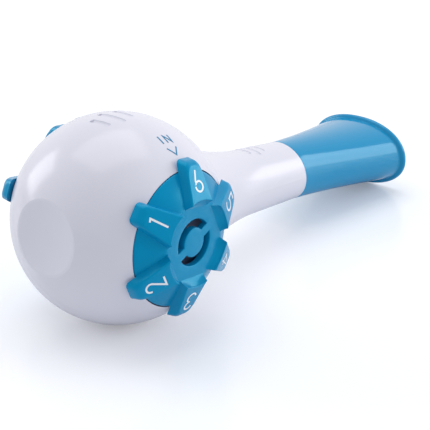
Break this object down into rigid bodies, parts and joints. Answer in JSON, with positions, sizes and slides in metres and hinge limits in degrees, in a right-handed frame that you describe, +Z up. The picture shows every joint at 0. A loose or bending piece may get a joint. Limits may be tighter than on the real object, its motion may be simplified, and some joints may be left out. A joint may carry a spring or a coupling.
{
  "type": "inspiratory muscle trainer",
  "caption": "Handheld breathing trainer: hollow ball with a numbered resistance dial on each side, handle neck and push-on oval mouthpiece, lying at rest.",
  "frame": {"origin": "centre of the bounding box's bottom face, on the surface that the trainer lies on", "axes": "+Z up, +Y along the trainer from the ball to the mouthpiece, +X through the inhale dial"},
  "size_m": [0.0642, 0.1688, 0.064],
  "materials": {
    "white_shell": "satin-gloss moulded",
    "blue_cap": "satin-gloss moulded",
    "grey_inner": "fine moulded",
    "black_rubber": "smooth",
    "spring_steel": "rolled strip",
    "clear_silicone": "smooth, translucent white"
  },
  "bodies": {
    "housing": {"ball_shell": "white_shell", "neck_tube": "white_shell", "neck_seal": "black_rubber", "mouthpiece_seal": "black_rubber", "inhale_port_plate": "grey_inner", "inhale_port_seal": "black_rubber", "inhale_plate_gasket": "black_rubber", "inhale_click_spring": "spring_steel", "inhale_valve_cage": "grey_inner", "exhale_port_plate": "grey_inner", "exhale_port_seal": "black_rubber", "exhale_plate_gasket": "black_rubber", "exhale_click_spring": "spring_steel", "exhale_valve_seat": "grey_inner"},
    "inhale_dial_set": {"inhale_dial": "blue_cap", "inhale_orifice_disc": "grey_inner", "inhale_dial_clip": "spring_steel"},
    "exhale_dial_set": {"exhale_dial": "blue_cap", "exhale_orifice_disc": "grey_inner", "exhale_dial_clip": "spring_steel"},
    "inhale_valve": {"inhale_valve_disc": "clear_silicone"},
    "exhale_valve": {"exhale_valve_disc": "clear_silicone"},
    "mouthpiece_set": {"mouthpiece": "blue_cap"}
  },
  "joints": [
    {"name": "inhale_dial_turn", "type": "hinge", "parent": "housing", "child": "inhale_dial_set", "pos_m": [0, -0.05322, 0.032], "axis": [1, 0, 0], "continuous": true},
    {"name": "exhale_dial_turn", "type": "hinge", "parent": "housing", "child": "exhale_dial_set", "pos_m": [0, -0.05322, 0.032], "axis": [-1, 0, 0], "continuous": true},
    {"name": "inhale_valve_lift", "type": "slide", "parent": "housing", "child": "inhale_valve", "axis": [-1, 0, 0], "range_m": [0, 0.0012]},
    {"name": "exhale_valve_lift", "type": "slide", "parent": "housing", "child": "exhale_valve", "axis": [-1, 0, 0], "range_m": [0, 0.0012]},
    {"name": "mouthpiece_pull", "type": "slide", "parent": "housing", "child": "mouthpiece_set", "axis": [0, 0.9909, -0.1345], "range_m": [0, 0.022]}
  ]
}
